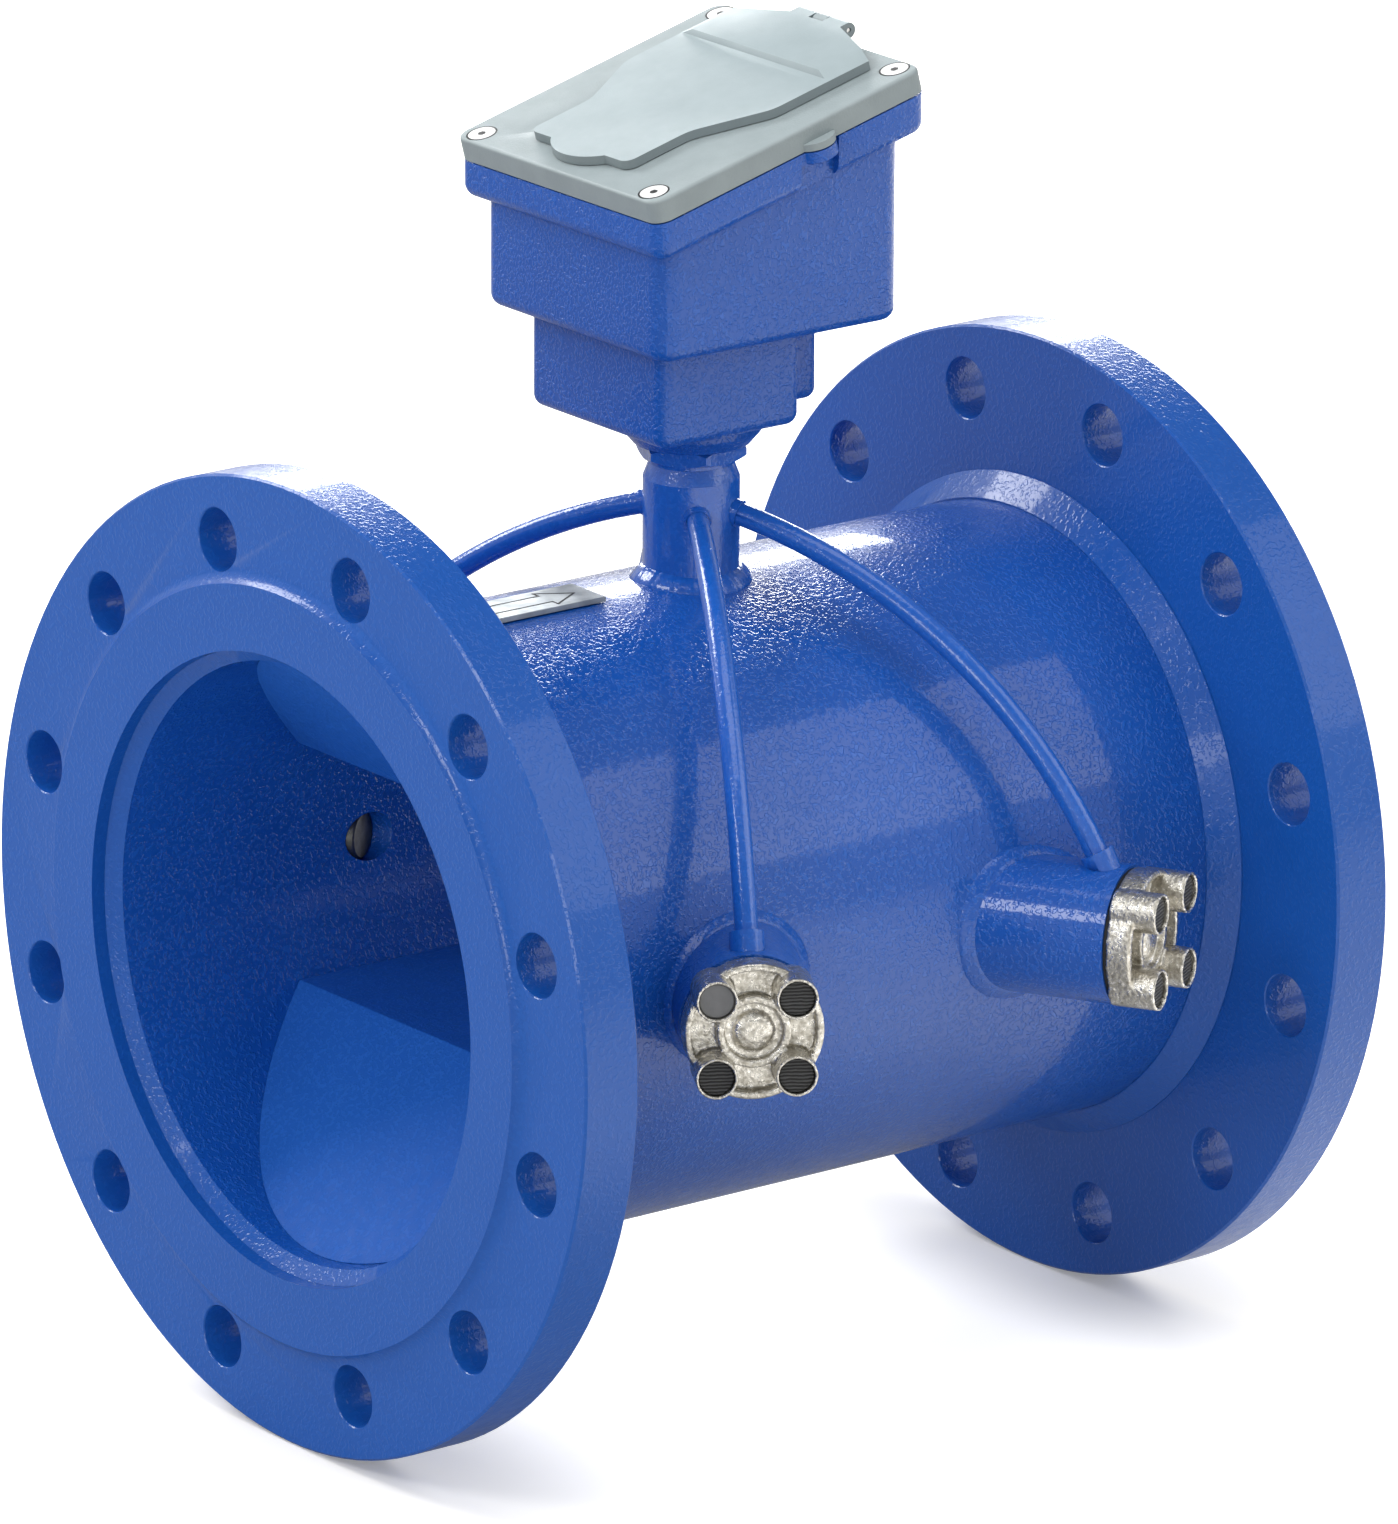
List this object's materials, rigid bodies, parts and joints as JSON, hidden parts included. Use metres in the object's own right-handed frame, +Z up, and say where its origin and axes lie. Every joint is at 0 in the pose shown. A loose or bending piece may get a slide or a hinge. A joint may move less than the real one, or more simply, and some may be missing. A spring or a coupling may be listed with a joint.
{
  "type": "ultrasonic flow meter",
  "caption": "Flanged in-line ultrasonic flow meter: blue steel measuring pipe, angled transducer wells with cable tubes, and a tilted register head with a hinged cover.",
  "frame": {"origin": "centre of the inlet flange's sealing face, on the pipe's axis", "axes": "+X along the pipe's axis with the flow, from inlet to outlet; +Z up through the neck and head; +Y completes the right-handed frame"},
  "size_m": [0.35, 0.34, 0.469],
  "materials": {
    "blue_paint": "semi-gloss",
    "blue_casting": "semi-gloss, cast texture",
    "cast_silver": "as cast",
    "turned_steel": "turned",
    "zinc_steel": "zinc plated",
    "black_rubber": "matte",
    "black_plug": "matte",
    "grey_seal": "matte",
    "lid_grey": "satin",
    "flap_grey": "satin",
    "white_screws": "satin",
    "clear_window": "clear",
    "display_dark": "glossy",
    "board_green": "solder mask",
    "cell_wrap": "shrink sleeve",
    "terminal_plastic": "moulded",
    "gland_brass": "nickel-plated",
    "plate_aluminium": "brushed"
  },
  "bodies": {
    "meter_body": {"measuring_pipe": "blue_paint", "inlet_flange": "blue_paint", "outlet_flange": "blue_paint", "inlet_back_weld": "blue_paint", "outlet_back_weld": "blue_paint", "inlet_face_weld": "blue_paint", "outlet_face_weld": "blue_paint", "upper_flow_plate": "blue_paint", "lower_flow_plate": "blue_paint", "inlet_near_well": "blue_paint", "outlet_near_well": "blue_paint", "inlet_far_well": "blue_paint", "outlet_far_well": "blue_paint", "well_welds": "blue_paint", "inlet_near_conduit": "blue_paint", "outlet_near_conduit": "blue_paint", "inlet_far_conduit": "blue_paint", "outlet_far_conduit": "blue_paint", "conduit_welds": "blue_paint", "neck_tube": "blue_paint", "neck_weld": "blue_paint", "lock_nut": "zinc_steel", "head_housing": "blue_casting", "inlet_near_cap": "cast_silver", "outlet_near_cap": "cast_silver", "inlet_far_cap": "cast_silver", "outlet_far_cap": "cast_silver", "inlet_near_transducer": "turned_steel", "outlet_near_transducer": "turned_steel", "inlet_far_transducer": "turned_steel", "outlet_far_transducer": "turned_steel", "transducer_seals": "black_rubber", "cap_gaskets": "black_rubber", "cap_screws": "zinc_steel", "boss_plugs": "black_plug", "seal_plug": "grey_seal", "lid_gasket": "black_rubber", "lid_frame": "lid_grey", "lid_screws": "white_screws", "hinge_pin": "turned_steel", "window_pane": "clear_window", "display_module": "display_dark", "main_board": "board_green", "board_spacers": "turned_steel", "battery_cradle": "black_plug", "battery_pack": "cell_wrap", "terminal_block": "terminal_plastic", "cable_gland": "gland_brass", "gland_nut": "gland_brass", "gland_insert": "black_rubber", "flow_arrow_plate": "plate_aluminium"},
    "cover": {"cover_flap": "flap_grey"}
  },
  "joints": [
    {"name": "cover_hinge", "type": "hinge", "parent": "meter_body", "child": "cover", "pos_m": [0.23118, 0, 0.29616], "axis": [0, 1, 0], "range_deg": [0, 120]}
  ]
}
